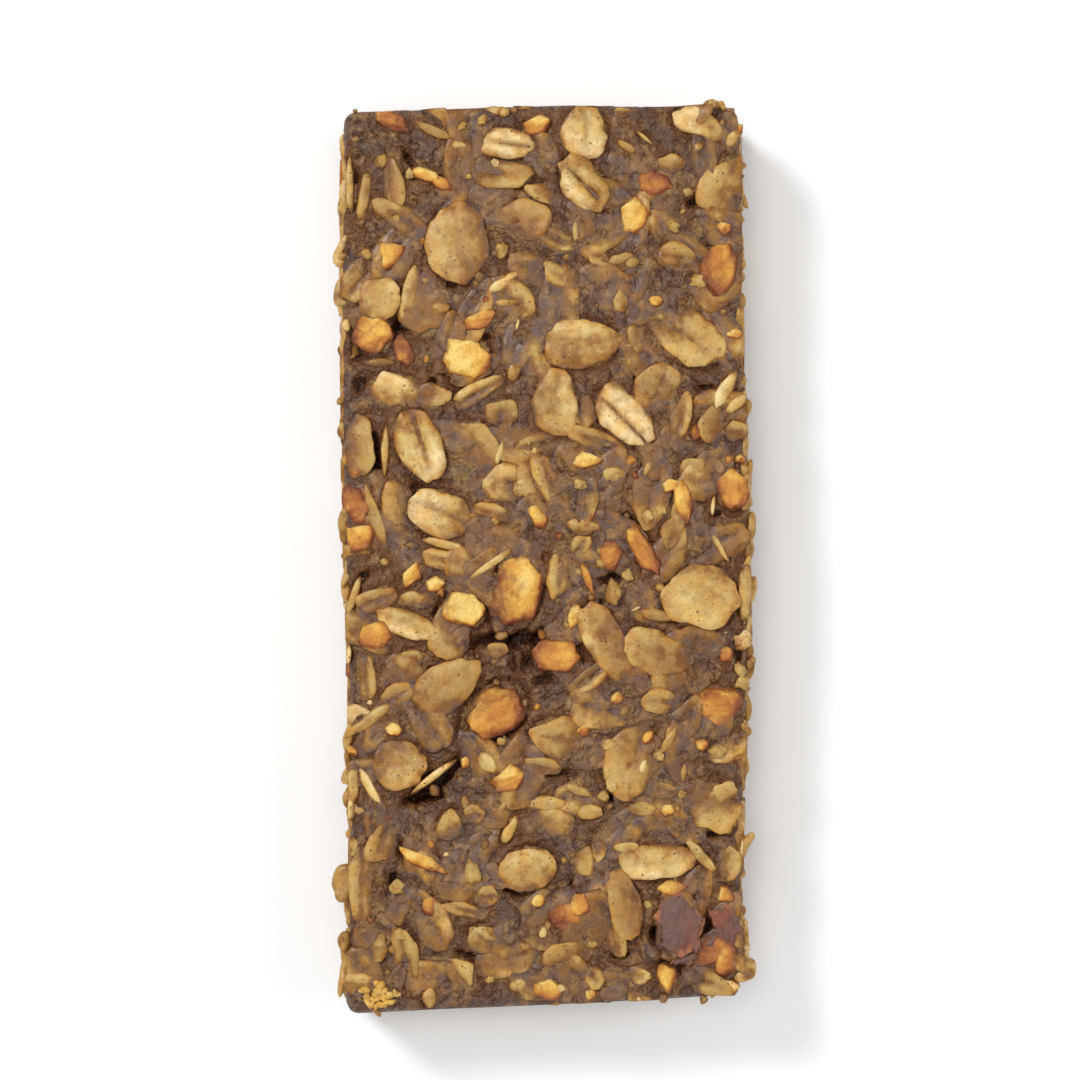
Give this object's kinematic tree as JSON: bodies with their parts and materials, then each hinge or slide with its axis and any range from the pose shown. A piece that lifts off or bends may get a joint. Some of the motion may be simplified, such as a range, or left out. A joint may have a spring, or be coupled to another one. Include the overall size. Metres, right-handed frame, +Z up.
{
  "type": "lactation bar",
  "caption": "Soft oat bar pressed flat and cut to a rounded rectangle, with rolled oat flakes, nut pieces and a torn almond skin in sticky fruit paste.",
  "frame": {"origin": "middle of the flat underside, on the surface that the bar lies on", "axes": "+Y along the bar's length, +X across its width, +Z up through its thickness"},
  "size_m": [0.0476, 0.101, 0.0129],
  "materials": {
    "paste": "sticky satin mauve-brown fruit and oat paste, smeared over what is pressed into it",
    "oats": "rolled oat flake, khaki-tan with brown stains, small dark specks and pale rims",
    "nuts": "broken toasted nut, golden to deep orange, slightly oily",
    "nut_skin": "papery almond skin, red-brown with a mauve bloom, fine wrinkles"
  },
  "bodies": {
    "root": {"bar": "paste"}
  },
  "joints": []
}
